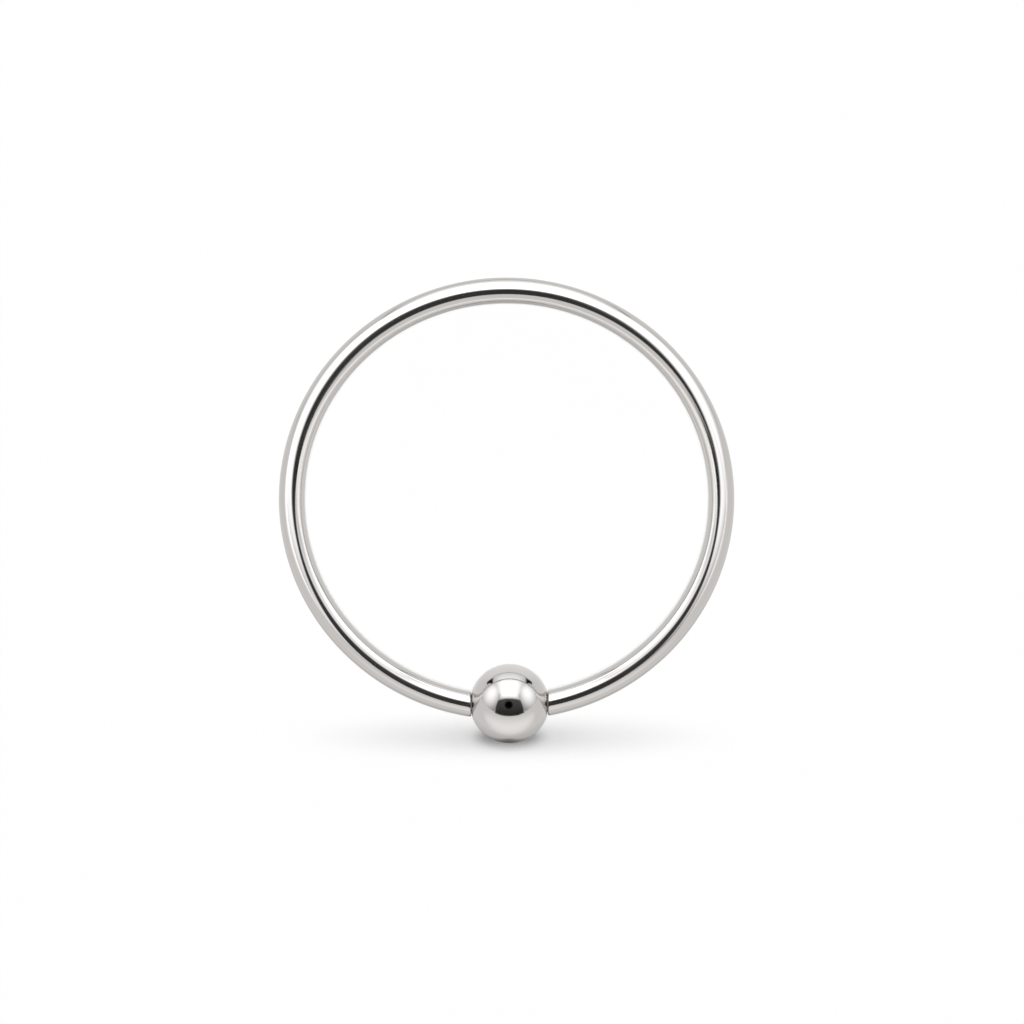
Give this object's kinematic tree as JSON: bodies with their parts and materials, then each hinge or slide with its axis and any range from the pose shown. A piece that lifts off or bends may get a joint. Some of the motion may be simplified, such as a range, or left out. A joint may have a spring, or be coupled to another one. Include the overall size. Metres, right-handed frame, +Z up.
{
  "type": "captive bead nose ring",
  "caption": "Round polished steel wire hoop for a nose piercing, closed by a small round bead held between its two ends.",
  "frame": {"origin": "the middle of the ring's footprint on the surface that it lies on", "axes": "+Z up from that surface; +Y from the bead towards the side of the hoop furthest from it; X along the bead's own axis, through its two dimples"},
  "size_m": [0.0144, 0.015, 0.0025],
  "materials": {
    "hoop_steel": "mirror-polished 316L surgical steel wire, unplated, with faint drawing lines along it",
    "bead_steel": "mirror-polished 316L surgical steel ball, unplated"
  },
  "bodies": {
    "hoop_body": {"hoop": "hoop_steel"},
    "bead_body": {"bead": "bead_steel"}
  },
  "joints": [
    {"name": "bead_spin", "type": "hinge", "parent": "hoop_body", "child": "bead_body", "pos_m": [0, -0.00627, 0.00125], "axis": [1, 0, 0], "continuous": true}
  ]
}
